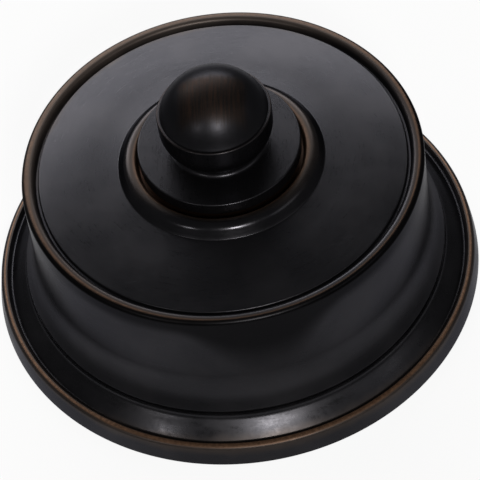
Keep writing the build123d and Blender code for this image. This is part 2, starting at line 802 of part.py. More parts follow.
# Screw and nut that press the triac to the plate
with BuildPart() as triac_screw:
    with BuildSketch(Plane.XY.offset(plate_top)):
        with Locations(triac_hole):
            Circle(screw_head_diameter / 2)
    extrude(amount=screw_head_height)
    fillet(triac_screw.edges().group_by(Axis.Z)[-1], screw_head_round)
    with BuildSketch(Plane.XY.offset(plate_top)):
        with Locations(triac_hole):
            Circle(screw_diameter / 2)
    extrude(amount=-(plate_thickness + triac_tab_thickness + triac_nut_thickness))
    with BuildSketch(Plane.XY.offset(plate_top + screw_head_height)):
        with Locations(triac_hole):
            Rectangle(screw_head_diameter, slot_width)
    extrude(amount=-slot_depth, mode=Mode.SUBTRACT)
save(triac_screw, "triac_screw")

with BuildPart() as triac_nut:
    with BuildSketch(Plane.XY.offset(can_top_z - triac_tab_thickness)):
        with Locations(triac_hole):
            RegularPolygon(triac_nut_flats / 2, 6, major_radius=False)
            Circle(screw_diameter / 2 + thread_fit, mode=Mode.SUBTRACT)
    extrude(amount=-triac_nut_thickness)
save(triac_nut, "triac_nut")

# Choke: ring core with single turns of wire round its section
core_bottom = board_top + 2 * seating_gap + choke_wire
core_middle = core_bottom + choke_height / 2
core_r = (choke_inner_diameter + choke_outer_diameter) / 4
turn_width = (choke_outer_diameter - choke_inner_diameter) / 2 + 2 * seating_gap
turn_height = choke_height + 2 * seating_gap
with BuildPart() as choke_core:
    with BuildSketch(Plane.XY.offset(core_bottom)):
        with Locations((choke_x, choke_y)):
            Circle(choke_outer_diameter / 2)
            Circle(choke_inner_diameter / 2, mode=Mode.SUBTRACT)
    extrude(amount=choke_height)
save(choke_core, "choke_core")

with BuildSketch(Plane.XZ) as turn_outline:
    RectangleRounded(turn_width + 2 * choke_wire, turn_height + 2 * choke_wire, choke_wire)
    Rectangle(turn_width, turn_height, mode=Mode.SUBTRACT)
with BuildPart() as choke_winding:
    with Locations((choke_x, choke_y, core_middle)):
        with PolarLocations(core_r, choke_turns):
            add(extrude(turn_outline.sketch, amount=choke_wire / 2, both=True, mode=Mode.PRIVATE))
save(choke_winding, "choke_winding")

# Capacitors: moulded boxes on the board
with BuildPart() as film_capacitor:
    with Locations((film_x, film_y, board_top)):
        Box(*film_size, align=(Align.CENTER, Align.CENTER, Align.MIN))
    fillet(film_capacitor.edges().filter_by(Axis.Z) + film_capacitor.edges().group_by(Axis.Z)[-1], film_round)
save(film_capacitor, "film_capacitor")

with BuildPart() as timing_capacitor:
    with Locations((timing_x, timing_y, board_top)):
        Box(*timing_size, align=(Align.CENTER, Align.CENTER, Align.MIN))
    fillet(timing_capacitor.edges().filter_by(Axis.Z), film_round)
save(timing_capacitor, "timing_capacitor")

# Resistors: bodies lying on the board, leads bent down to it
resistor_z = board_top + resistor_diameter / 2 + seating_gap
lead_end = resistor_pitch / 2
with BuildPart() as resistors:
    for side in (-1, 1):
        with BuildSketch(Plane.XZ.offset(-(resistor_y - resistor_length / 2))):
            with Locations((side * resistor_x, resistor_z)):
                Circle(resistor_diameter / 2)
        extrude(amount=-resistor_length)
        with BuildLine() as lead:
            FilletPolyline(
                (side * resistor_x, resistor_y - lead_end, board_top),
                (side * resistor_x, resistor_y - lead_end, resistor_z),
                (side * resistor_x, resistor_y + lead_end, resistor_z),
                (side * resistor_x, resistor_y + lead_end, board_top),
                radius=resistor_lead,
            )
        with BuildSketch(Plane(origin=lead.line @ 0, z_dir=lead.line % 0)):
            Circle(resistor_lead / 2)
        sweep(path=lead.line)
save(resistors, "resistors")

# Terminal block: moulded body with a chamber for each cage, open to the front and above
terminal_xs = [(i - (terminal_count - 1) / 2) * terminal_pitch for i in range(terminal_count)]
terminal_y = terminal_far_y - terminal_depth / 2
cage_bottom = board_top + cage_floor
cage_depth = terminal_depth - cage_floor
cage_y = terminal_far_y - terminal_depth + cage_depth / 2
with BuildPart() as terminal_block:
    with Locations((0, terminal_y, board_top)):
        Box(
            terminal_count * terminal_pitch, terminal_depth, terminal_height,
            align=(Align.CENTER, Align.CENTER, Align.MIN),
        )
    with Locations(*[(x, cage_y, cage_bottom) for x in terminal_xs]):
        Box(
            cage_width, cage_depth, cage_height,
            align=(Align.CENTER, Align.CENTER, Align.MIN), mode=Mode.SUBTRACT,
        )
    with BuildSketch(Plane.XY.offset(board_top + terminal_height)):
        with Locations(*[(x, cage_y) for x in terminal_xs]):
            Circle(terminal_screw_head / 2 + hole_fit)
    extrude(amount=-(terminal_height - cage_floor - cage_height), mode=Mode.SUBTRACT)
save(terminal_block, "terminal_block")

# Cages: brass blocks with a wire hole and a tapped hole across it
cage_middle = cage_bottom + cage_height / 2
wire_z = cage_bottom + wire_hole_diameter / 2 + cage_floor
with BuildPart() as terminal_cages:
    with Locations(*[(x, cage_y, cage_middle) for x in terminal_xs]):
        Box(cage_width, cage_depth, cage_height)
    with BuildSketch(Plane.XZ.offset(-(cage_y - cage_depth / 2))):
        with Locations(*[(x, wire_z) for x in terminal_xs]):
            Circle(wire_hole_diameter / 2)
    extrude(amount=-cage_depth, mode=Mode.SUBTRACT)
    with BuildSketch(Plane.XY.offset(cage_bottom + cage_height)):
        with Locations(*[(x, cage_y) for x in terminal_xs]):
            Circle(terminal_screw_diameter / 2 + thread_fit)
    extrude(amount=-(cage_bottom + cage_height - wire_z), mode=Mode.SUBTRACT)
save(terminal_cages, "terminal_cages")

# Terminal screws: slotted, open above the block
screw_end = wire_z + terminal_bite
with BuildPart() as terminal_screws:
    with BuildSketch(Plane.XY.offset(screw_end)):
        with Locations(*[(x, cage_y) for x in terminal_xs]):
            Circle(terminal_screw_diameter / 2)
    extrude(amount=cage_bottom + cage_height - screw_end)
    with BuildSketch(Plane.XY.offset(cage_bottom + cage_height)):
        with Locations(*[(x, cage_y) for x in terminal_xs]):
            Circle(terminal_screw_head / 2)
    extrude(amount=terminal_head_height)
    with BuildSketch(Plane.XY.offset(cage_bottom + cage_height + terminal_head_height)):
        with Locations(*[(x, cage_y) for x in terminal_xs]):
            Rectangle(terminal_screw_head, slot_width)
    extrude(amount=-slot_depth, mode=Mode.SUBTRACT)
save(terminal_screws, "terminal_screws")
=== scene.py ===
import json
import math
from functools import reduce
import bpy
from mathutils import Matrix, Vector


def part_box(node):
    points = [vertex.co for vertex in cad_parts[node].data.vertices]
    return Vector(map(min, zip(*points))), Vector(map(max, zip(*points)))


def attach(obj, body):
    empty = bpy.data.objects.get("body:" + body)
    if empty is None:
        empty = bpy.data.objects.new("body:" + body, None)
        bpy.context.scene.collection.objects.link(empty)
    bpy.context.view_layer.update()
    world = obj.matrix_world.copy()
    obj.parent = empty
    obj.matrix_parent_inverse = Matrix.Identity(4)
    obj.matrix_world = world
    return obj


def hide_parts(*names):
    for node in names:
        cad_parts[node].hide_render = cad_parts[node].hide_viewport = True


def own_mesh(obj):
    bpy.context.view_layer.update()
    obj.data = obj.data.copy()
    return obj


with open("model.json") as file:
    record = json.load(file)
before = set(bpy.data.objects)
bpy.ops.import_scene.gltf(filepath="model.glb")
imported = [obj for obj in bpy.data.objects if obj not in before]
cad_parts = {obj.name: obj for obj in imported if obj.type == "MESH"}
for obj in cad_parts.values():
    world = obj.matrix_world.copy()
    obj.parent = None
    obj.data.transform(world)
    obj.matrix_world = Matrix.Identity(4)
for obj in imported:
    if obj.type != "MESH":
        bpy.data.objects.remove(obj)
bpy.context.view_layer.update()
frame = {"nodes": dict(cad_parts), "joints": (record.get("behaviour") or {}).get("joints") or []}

from types import SimpleNamespace

import bmesh
import bpy
from mathutils import Matrix, Vector

nodes = frame["nodes"]
millimetres = 1000.0                                   # in a metre
print("frame loaded:", len(nodes), "nodes")


# Shader sums are written as plain sums: Value wraps a socket, Board wraps one node tree

class Value:
    def __init__(self, board, socket):
        self.board = board
        self.socket = socket

    def __add__(self, other):
        return self.board.sum("ADD", self, other)

    def __sub__(self, other):
        return self.board.sum("SUBTRACT", self, other)

    def __rsub__(self, other):
        return self.board.sum("SUBTRACT", other, self)

    def __mul__(self, other):
        return self.board.sum("MULTIPLY", self, other)

    def __truediv__(self, other):
        return self.board.sum("DIVIDE", self, other)

    def __pow__(self, other):
        return self.board.sum("POWER", self, other)

    def __abs__(self):
        return self.board.add("ShaderNodeMath", {"operation": "ABSOLUTE"}, {0: self})

    __radd__ = __add__
    __rmul__ = __mul__


class Board:
    def __init__(self, tree):
        self.tree = tree

    def add(self, kind, settings=None, inputs=None, output=0):
        node = self.tree.nodes.new(kind)
        for key, value in (settings or {}).items():
            setattr(node, key, value)
        for key, value in (inputs or {}).items():
            self.feed(node.inputs[key], value)
        return Value(self, node.outputs[output])

    def feed(self, socket, value):
        if isinstance(value, Value):
            self.tree.links.new(value.socket, socket)
        elif isinstance(value, tuple) and len(value) == 3 and socket.type == "RGBA":
            socket.default_value = (*value, 1)
        else:
            socket.default_value = value

    def sum(self, operation, first, second):
        return self.add("ShaderNodeMath", {"operation": operation}, {0: first, 1: second})

    def largest(self, first, second):
        return self.sum("MAXIMUM", first, second)

    def step(self, value, low, high):                  # 0 at low, 1 at high, smooth between
        return self.add(
            "ShaderNodeMapRange", {"interpolation_type": "SMOOTHSTEP"},
            {"Value": value, "From Min": low, "From Max": high},
        )

    def blend(self, share, first, second):             # two colours mixed by a share
        return self.add(
            "ShaderNodeMix", {"data_type": "RGBA", "clamp_factor": True},
            {0: share, 6: first, 7: second}, 2,
        )

    def noise(self, place, scale, detail, roughness=0.55):
        return self.add(
            "ShaderNodeTexNoise", {"noise_dimensions": "3D"},
            {"Vector": place, "Scale": scale, "Detail": detail, "Roughness": roughness},
        )

    def stretch(self, place, scale):                   # pattern drawn out along some axes
        return self.add(
            "ShaderNodeMapping", {"vector_type": "POINT"}, {"Vector": place, "Scale": scale}
        )

    def bump(self, height, strength, distance):
        return self.add(
            "ShaderNodeBump", None, {"Height": height, "Strength": strength, "Distance": distance}
        )


def newFinish(name, fixed):
    # a material with its Principled node; fixed holds what is the same all over
    material = bpy.data.materials.new(name)
    material.use_nodes = True
    shader = material.node_tree.nodes["Principled BSDF"]
    board = Board(material.node_tree)
    for key, value in fixed.items():
        board.feed(shader.inputs[key], value)
    return material, board, shader


def placeOf(board):
    # where a point is, in millimetres: the vector, its three parts and the distance from the axis
    metres = board.add("ShaderNodeTexCoord", output="Object")
    vector = board.add("ShaderNodeVectorMath", {"operation": "SCALE"}, {0: metres, "Scale": millimetres})
    parts = board.add("ShaderNodeSeparateXYZ", None, {0: vector}).socket.node
    x, y, z = (Value(board, part) for part in parts.outputs)
    return SimpleNamespace(vector=vector, x=x, y=y, z=z, radius=(x * x + y * y) ** 0.5)


def linked(name, data):
    # a new object in the scene, at the origin
    made = bpy.data.objects.new(name, data)
    bpy.context.scene.collection.objects.link(made)
    return made


# Dark rubbed bronze: brass darkened almost to black, worn to copper along the edges

bronze = {
    "dark": (0.0225, 0.0222, 0.0252),
    "pale": (0.0285, 0.0278, 0.0310),
    "brown": (0.027, 0.0200, 0.0160),                  # thin lacquer beside a worn edge
    "brownShare": 0.85,
    "oxide": (0.095, 0.074, 0.062),                    # where the lacquer is gone
    "oxideShare": 1.2,
    "copper": (0.100, 0.054, 0.031),
    "brightCopper": (0.180, 0.098, 0.056),
    "dust": (0.09, 0.085, 0.085),
    "dustShare": 0.25,
    "metallic": 0.9,
    "shine": {"Specular Tint": (0.5, 0.5, 0.52)},
    "roughness": 0.30,
    "roughnessSpread": 0.08,
    "scratchRoughness": 0.05,
    "stainRoughness": 0.16,
    "bump": 0.16,
    "bumpDepth": 0.00004,                              # metres
    "grainBump": 0.35,
}
patterns = {                                           # scale, detail and roughness; steps cut from them
    "cloud": (0.11, 4.0, 0.55), "cloudStep": (0.35, 0.68),
    "grain": (1.7, 5.0, 0.65), "copperStep": (0.38, 0.66),
    "dust": (5.2, 1.0, 0.55), "dustStep": (0.735, 0.80),
    "scratch": (2.2, 2.0, 0.55), "scratchDraw": (0.09, 1.5, 0.4), "scratchStep": (0.62, 0.75),
    "turned": (2.4, 4.0, 0.6), "turnedRound": 3.0, "turnedAlong": 2.6,
}
edgeWear = {                                           # steps are in shares of the width of the line
    "least": 0.45, "clouded": 1.1, "ragged": 0.9, "rubbedStep": (1.15, 0.35), "haloCore": 0.6,
}


def wornEdge(board, spot, cloud, grain, line):
    # how far one edge is rubbed to copper, stained beside that, and bare of lacquer
    toward = math.radians(line["toward"])
    bias = (spot.x * math.cos(toward) + spot.y * math.sin(toward)) / spot.radius
    flanks = spot.x * spot.x / (spot.radius * spot.radius) - 0.5     # left and right against front and back
    reach = line["width"] * (1.0 + line["lean"] * bias + line["flanks"] * flanks)
    reach = reach * (edgeWear["least"] + edgeWear["clouded"] * cloud)
    away = ((spot.radius - line["radius"]) ** 2.0 + (spot.z - line["height"]) ** 2.0) ** 0.5
    away = away + (grain - 0.5) * (line["width"] * edgeWear["ragged"])
    rubbed = board.step(away / reach, *edgeWear["rubbedStep"]) * line["worn"]
    halo = board.step(away / reach, line["halo"], edgeWear["haloCore"]) * line["stain"]
    bare = halo * (line["bare"] + line["bareLean"] * bias)
    return rubbed, halo, board.largest(bare, rubbed * line["rust"])


def pocketMask(board, spot, pocket):                   # the recess under the flange, never blackened
    return board.step(spot.radius, *pocket["edge"]) * board.step(spot.z, *pocket["top"])


def polishMask(board, spot, polish):                   # a raised ring that hands have smoothed
    raised = board.step(spot.z, *polish["rise"]) * board.step(spot.radius, *polish["inner"])
    return raised * board.step(spot.radius, *polish["outer"])


def paintedShadeMask(board, spot, shade):                     # painted shade: a darker tone under the rim, deepest in front
    front = board.step(abs(spot.x / spot.radius - shade["x"]), *shade["spread"])
    front = front * board.step(spot.y / spot.radius, *shade["facing"])
    depth = shade["depth"] + front * shade["extra"]
    dark = board.step(spot.z, shade["top"] - depth, shade["top"] - depth * shade["solid"])
    return dark * board.step(spot.radius, *shade["wall"])


def brushedPatch(board, spot, streak):                 # the strands, the patch that they cover and the dome
    turn = math.radians(streak["turn"])
    across = spot.x * math.cos(turn) - spot.y * math.sin(turn)
    along = spot.x * math.sin(turn) + spot.y * math.cos(turn)
    strands = board.add("ShaderNodeCombineXYZ", None, {0: across, 1: along * streak["draw"]})
    brush = board.noise(strands, *streak["brush"])
    sideways = abs(across - streak["x"]) + (brush - 0.5) * streak["raggedSides"]
    lengthways = abs(along - streak["y"]) + (brush - 0.5) * streak["raggedEnds"]
    patch = board.step(sideways, *streak["sides"]) * board.step(lengthways, *streak["ends"])
    patch = patch * board.step(spot.z, *streak["foot"])
    return brush, patch, board.step(spot.z, *streak["domeFoot"])


def rubbedBronze(name, wearAndShade):
    # the worn lines of one piece, the cover's painted shade under its rim and whatever else sets it apart
    material, board, shader = newFinish(name, bronze["shine"])
    spot = placeOf(board)
    cloud = board.noise(spot.vector, *patterns["cloud"])
    grain = board.noise(spot.vector, *patterns["grain"])
    edges = [wornEdge(board, spot, cloud, grain, line) for line in wearAndShade["lines"]]
    worn, stain, bare = (reduce(board.largest, masks) for masks in zip(*edges))

    tone = board.blend(board.step(cloud, *patterns["cloudStep"]), bronze["dark"], bronze["pale"])
    if "pocket" in wearAndShade:
        pocket = wearAndShade["pocket"]
        share = pocketMask(board, spot, pocket) * (pocket["share"] + pocket["grainy"] * grain)
        tone = board.blend(share, tone, pocket["tone"])
    tone = board.blend(stain * bronze["brownShare"], tone, bronze["brown"])
    tone = board.blend(bare * bronze["oxideShare"], tone, bronze["oxide"])
    # painted shade: the cover's wall is darkened under the rim, deepest in front
    if "shade" in wearAndShade:
        share = paintedShadeMask(board, spot, wearAndShade["shade"]) * wearAndShade["shade"]["share"]
        tone = board.blend(share, tone, wearAndShade["shade"]["tone"])
    copper = board.blend(
        board.step(grain, *patterns["copperStep"]), bronze["copper"], bronze["brightCopper"]
    )
    tone = board.blend(worn, tone, copper)

    scratch = board.noise(board.stretch(spot.vector, patterns["scratchDraw"]), *patterns["scratch"])
    scratch = board.step(scratch, *patterns["scratchStep"])
    rough = bronze["roughness"] + (cloud - 0.5) * bronze["roughnessSpread"] + (grain - 0.5) * wearAndShade["mottle"]
    rough = rough + scratch * bronze["scratchRoughness"] + stain * bronze["stainRoughness"]
    if "polish" in wearAndShade:
        rough = rough - polishMask(board, spot, wearAndShade["polish"]) * wearAndShade["polish"]["gain"]
    if "streak" in wearAndShade:                               # the dome is duller, most of all in its brushed patch
        streak = wearAndShade["streak"]
        brush, patch, dome = brushedPatch(board, spot, streak)
        strand = patch * board.step(brush, *streak["strandStep"])
        tone = board.blend(dome * streak["domeShare"], tone, streak["domeTone"])
        tone = board.blend(patch * streak["stain"], tone, streak["underTone"])
        tone = board.blend(strand * streak["worn"], tone, streak["tone"])
        rough = rough + patch * streak["dull"] + dome * streak["domeDull"]
        rough = rough + (brush - 0.5) * streak["strandDull"]
    dust = board.step(board.noise(spot.vector, *patterns["dust"]), *patterns["dustStep"])
    tone = board.blend(dust * bronze["dustShare"], tone, bronze["dust"])

    turned = board.add("ShaderNodeCombineXYZ", None, {
        0: spot.x / spot.radius * patterns["turnedRound"],
        1: spot.y / spot.radius * patterns["turnedRound"],
        2: (spot.radius + spot.z) * patterns["turnedAlong"],
    })
    marks = board.noise(turned, *patterns["turned"])   # broken lines round the axis
    rough = rough + (marks - 0.5) * wearAndShade["haze"]
    height = grain * bronze["grainBump"] + marks * wearAndShade["rings"]
    board.feed(shader.inputs["Base Color"], tone)
    board.feed(shader.inputs["Metallic"], bronze["metallic"] - bare)
    board.feed(shader.inputs["Roughness"], rough)
    board.feed(shader.inputs["Normal"], board.bump(height, bronze["bump"], bronze["bumpDepth"]))
    return material


# Turned pieces: an outline swept round the axis, finer than the solid but on the same corners

def roundedOutline(corners, arcDegrees, leastSteps=3):
    # corners are (radius, height, rounding); gives points with each rounded corner as an arc
    points = []
    count = len(corners)
    for i, (r, z, rounding) in enumerate(corners):
        corner = Vector((r, z))
        if not rounding:
            points.append(corner)
            continue
        before = (Vector(corners[i - 1][:2]) - corner).normalized()
        after = (Vector(corners[(i + 1) % count][:2]) - corner).normalized()
        half = math.acos(max(-1, min(1, before.dot(after)))) / 2
        centre = corner + (before + after).normalized() * (rounding / math.sin(half))
        start = corner + before * (rounding / math.tan(half)) - centre
        sweep = math.pi - 2 * half
        if start.x * before.y - start.y * before.x > 0:
            sweep = -sweep
        steps = max(leastSteps, math.ceil(abs(math.degrees(sweep)) / arcDegrees))
        for k in range(steps + 1):
            points.append(centre + Matrix.Rotation(sweep * k / steps, 2) @ start)
    return points


def arcPoints(centre, radius, start, end, steps):
    # points on an arc round a centre, between two angles in radians
    r, z = centre
    angles = [start + (end - start) * k / steps for k in range(steps + 1)]
    return [Vector((r + radius * math.cos(angle), z + radius * math.sin(angle))) for angle in angles]


def newTree(name, given):
    # a Geometry Nodes tree with these inputs and one piece as its output
    tree = bpy.data.node_groups.new(name, "GeometryNodeTree")
    for label, kind in given.items():
        tree.interface.new_socket(label, in_out="INPUT", socket_type="NodeSocket" + kind)
    tree.interface.new_socket("Piece", in_out="OUTPUT", socket_type="NodeSocketGeometry")
    return tree, Board(tree)


def endTree(board, skin, finish):
    # the last nodes of every tree: real geometry with its material
    skin = board.add("GeometryNodeRealizeInstances", None, {"Geometry": skin})
    skin = board.add("GeometryNodeSetMaterial", None, {"Geometry": skin, "Material": finish})
    board.tree.links.new(skin.socket, board.tree.nodes.new("NodeGroupOutput").inputs[0])


def smoothed(board, skin):
    return board.add(
        "GeometryNodeSetShadeSmooth", {"domain": "FACE"}, {"Geometry": skin, "Shade Smooth": True}
    )


turning = {
    "startRadius": 0.02,                               # metres, of the path that carries the outline
    "merge": 1e-6,                                     # metres, closes the seam and the tip of the dome
    "sharpDegrees": 32,
}


def turningTree():
    tree, board = newTree("turnedPiece", {
        "Outline": "Geometry", "Segments": "Int", "Start Radius": "Float", "Sharp Angle": "Float",
        "Finish": "Material",
    })
    given = tree.nodes.new("NodeGroupInput").outputs
    outline, segments, startRadius, sharp, finish = (Value(board, given[i]) for i in range(5))
    path = board.add(
        "GeometryNodeCurvePrimitiveCircle", {"mode": "RADIUS"},
        {"Resolution": segments, "Radius": startRadius},
    )
    skin = board.add("GeometryNodeCurveToMesh", None, {"Curve": path, "Profile Curve": outline})
    skin = board.add("GeometryNodeMergeByDistance", None, {"Geometry": skin, "Distance": turning["merge"]})
    skin = smoothed(board, skin)
    angle = board.add("GeometryNodeInputMeshEdgeAngle")
    hard = board.add(
        "FunctionNodeCompare", {"data_type": "FLOAT", "operation": "GREATER_THAN"}, {0: angle, 1: sharp}
    )
    skin = board.add(
        "GeometryNodeSetShadeSmooth", {"domain": "EDGE"},
        {"Geometry": skin, "Selection": hard, "Shade Smooth": False},
    )
    endTree(board, skin, finish)
    return tree


turnedTree = turningTree()


def madePlain(name, carrier):
    # what the carrier's tree makes, as a plain mesh with its faces outwards
    shown = carrier.evaluated_get(bpy.context.evaluated_depsgraph_get())
    mesh = bpy.data.meshes.new_from_object(shown)
    bpy.data.objects.remove(carrier)
    clean = bmesh.new()
    clean.from_mesh(mesh)
    bmesh.ops.recalc_face_normals(clean, faces=clean.faces)
    clean.to_mesh(mesh)
    clean.free()
    return linked(name, mesh)


def turnedPiece(name, points, closed, segments, finish):
    curve = bpy.data.curves.new(name + "Outline", "CURVE")
    curve.dimensions = "3D"
    spline = curve.splines.new("POLY")
    spline.points.add(len(points) - 1)
    for point, (r, z) in zip(spline.points, reversed(points)):
        point.co = (r / millimetres - turning["startRadius"], -z / millimetres, 0, 1)
    spline.use_cyclic_u = closed
    carrier = linked(name + "Outline", curve)
    sweep = carrier.modifiers.new("turned", "NODES")
    sweep.node_group = turnedTree
    sizes = {
        "Segments": segments, "Start Radius": turning["startRadius"],
        "Sharp Angle": math.radians(turning["sharpDegrees"]), "Finish": finish,
    }
    for item in turnedTree.interface.items_tree:
        if item.name in sizes:
            sweep[item.identifier] = sizes[item.name]
    return madePlain(name, carrier)


# Sizes are in millimetres. A worn line has its place and width, how worn it is, the angle most rubbed and how
# much that counts, what its left and right add, then the stain beside it and the bare metal

baseShape = {
    "corners": [
        (29.5, 0, 0), (33.6, 0, 0), (33.6, 3.959, 0.5), (39.4, 1.336, 0.5), (39.4, 0, 0),
        (42.0, 0, 0.4), (41.3, 4.15, 0.8), (40.3, 4.15, 0), (39.55, 3.4, 0.3), (37.975, 4.905, 25.0),
        (36.4, 6.25, 1.4), (36.4, 7.2, 0), (32.5, 7.2, 0), (32.5, 9.7, 0.4), (31.0, 9.7, 0),
        (31.0, 3.0, 0), (29.5, 3.0, 0),
    ],
    "segments": 288,
    "arcDegrees": 7,
    "wearAndShade": {
        "lines": [
            {"radius": 40.7, "height": 4.14, "width": 0.30, "worn": 0.85, "toward": -80, "lean": 0.55,
             "flanks": -0.55, "halo": 4.6, "stain": 0.8, "bare": 0.22, "bareLean": 0.0, "rust": 0.42},
        ],
        "rings": 1.0, "haze": 0.38, "mottle": 0.14,
    },
}
coverShape = {
    "corners": [
        (32.7, 7.2, 0), (36.3, 7.2, 0.2), (36.3, 7.7, 0.2), (34.0, 11.242, 11.0), (34.0, 29.0, 0.9),
        (32.1, 29.0, 0.85), (31.65, 27.75, 0.15), (31.2, 27.75, 0.15), (31.2, 28.35, 0.25),
        (24.3, 29.15, 90.0), (17.4, 29.55, 0.3), (16.0, 31.55, 1.8), (14.2, 31.55, 0.4),
        (14.2, 29.85, 0.5), (5.0, 29.85, 0), (5.0, 28.4, 0), (16.0, 28.4, 0), (32.7, 26.45, 0.8),
    ],
    "segments": 288,
    "arcDegrees": 6,
    "wearAndShade": {
        "lines": [
            {"radius": 33.15, "height": 28.98, "width": 0.36, "worn": 0.32, "toward": 110, "lean": 0.7,
             "flanks": 0, "halo": 5.0, "stain": 0.9, "bare": 0.05, "bareLean": 0.48, "rust": 0.0},
            {"radius": 14.4, "height": 31.45, "width": 0.45, "worn": 0.34, "toward": -10, "lean": 0.3,
             "flanks": 1.0, "halo": 4.2, "stain": 0.85, "bare": 0.12, "bareLean": 0.0, "rust": 0.0},
        ],
        "rings": 0.3, "haze": 0.14, "mottle": 0.07,
        "polish": {"rise": (29.7, 30.1), "inner": (13.8, 14.2), "outer": (17.6, 17.0), "gain": 0.08},
        "pocket": {"edge": (14.45, 14.15), "top": (31.5, 31.0), "share": 0.55, "grainy": 0.6,
                   "tone": (0.060, 0.030, 0.018)},
        # painted shade under the rim: a darker tone on the wall, deepest in front
        "shade": {"wall": (33.05, 33.5), "top": 29.0, "depth": 4.5, "extra": 12.0, "solid": 0.35,
                  "x": 0.07, "spread": (0.42, 0.05), "facing": (0.0, -0.6), "share": 0.9,
                  "tone": (0.0035, 0.0034, 0.0038)},
    },
}
knobShape = {
    "under": [(0, 43.85), (4.8, 43.85), (4.8, 35.05), (5.7, 35.05), (5.7, 33.15), (8.8, 33.15), (8.8, 31.75)],
    "flange": [(13.7, 31.75, 0.25), (13.7, 34.05, 0.25), (7.5, 34.05, 0.8)],
    "neckTop": (7.5, 35.15),
    "barrelTop": (9.55, 39.4),
    "bodyTop": 42.15,
    "ledgeRound": 0.2,
    "domeFoot": 9.05,
    "domeHeight": 6.75,
    "barrelSteps": 24,
    "domeSteps": 40,
    "segments": 256,
    "arcDegrees": 7,
    "wearAndShade": {
        "lines": [
            {"radius": 9.4, "height": 42.15, "width": 0.12, "worn": 0.07, "toward": 180, "lean": 0.3,
             "flanks": 0, "halo": 3.2, "stain": 0.07, "bare": 0.2, "bareLean": 0.0, "rust": 0.0},
        ],
        "rings": 1.6, "haze": 0.14, "mottle": 0.07,
        "streak": {
            "turn": 7.4, "x": 0.2, "y": -2.2, "brush": (3.4, 4.0, 0.7), "draw": 0.05,
            "strandStep": (0.42, 0.66), "sides": (6.2, 4.6), "raggedSides": 2.4, "ends": (4.8, 2.8),
            "raggedEnds": 5.0, "foot": (43.0, 43.6), "tone": (0.038, 0.021, 0.015), "worn": 0.7,
            "underTone": (0.016, 0.0125, 0.0105), "stain": 0.8, "dull": 0.12, "strandDull": 0.2,
            "domeFoot": (42.2, 43.0), "domeTone": (0.0165, 0.0162, 0.0190), "domeShare": 0.6,
            "domeDull": 0.06,
        },
    },
}


def knobPoints(shape):
    # from the bore under the flange, out and up to the top of the dome
    neckR, neckZ = shape["neckTop"]
    barrelR, barrelZ = shape["barrelTop"]
    foot, rise, top = shape["domeFoot"], shape["domeHeight"], shape["bodyTop"]
    barrelRadius = ((barrelR - neckR) ** 2 + (barrelZ - neckZ) ** 2) / (2 * (barrelR - neckR))
    barrelSweep = math.asin((barrelZ - neckZ) / barrelRadius)
    domeRadius = (foot ** 2 + rise ** 2) / (2 * rise)
    domeCentre = top + rise - domeRadius
    domeStart = math.asin((top - domeCentre) / domeRadius)
    flange = [(*shape["under"][-1], 0), *shape["flange"], (neckR, neckZ, 0)]
    ledge = [(barrelR, barrelZ, 0), (barrelR, top, shape["ledgeRound"]), (foot, top, 0)]
    points = [Vector(point) for point in shape["under"]]
    points += roundedOutline(flange, shape["arcDegrees"])[1:-1]
    barrelCentre = (barrelR - barrelRadius, barrelZ)
    points += arcPoints(barrelCentre, barrelRadius, -barrelSweep, 0, shape["barrelSteps"])
    points += roundedOutline(ledge, shape["arcDegrees"])[1:-1]
    points += arcPoints((0, domeCentre), domeRadius, domeStart, math.pi / 2, shape["domeSteps"])
    points[-1].x = 0.0
    return points


baseRing = turnedPiece(
    "turned_base_ring", roundedOutline(baseShape["corners"], baseShape["arcDegrees"]), True,
    baseShape["segments"], rubbedBronze("baseBronze", baseShape["wearAndShade"]),
)
cover = turnedPiece(
    "turned_cover", roundedOutline(coverShape["corners"], coverShape["arcDegrees"]), True,
    coverShape["segments"], rubbedBronze("coverBronze", coverShape["wearAndShade"]),
)
knob = turnedPiece(
    "turned_knob", knobPoints(knobShape), False,
    knobShape["segments"], rubbedBronze("knobBronze", knobShape["wearAndShade"]),
)

for piece, node, body in ((baseRing, "base_ring", "base"), (cover, "cover", "base"), (knob, "knob", "knob")):
    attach(piece, body)
    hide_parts(node)
    low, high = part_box(node)
    pieceLow, pieceHigh = Vector(piece.bound_box[0]), Vector(piece.bound_box[6])
    offset = millimetres * max((pieceLow - low).length, (pieceHigh - high).length)
    print(piece.name, len(piece.data.polygons), "faces, off the solid by", round(offset, 3), "mm")
print("turned pieces placed")


# Finishes of the moulded, drawn and plated parts behind the cover

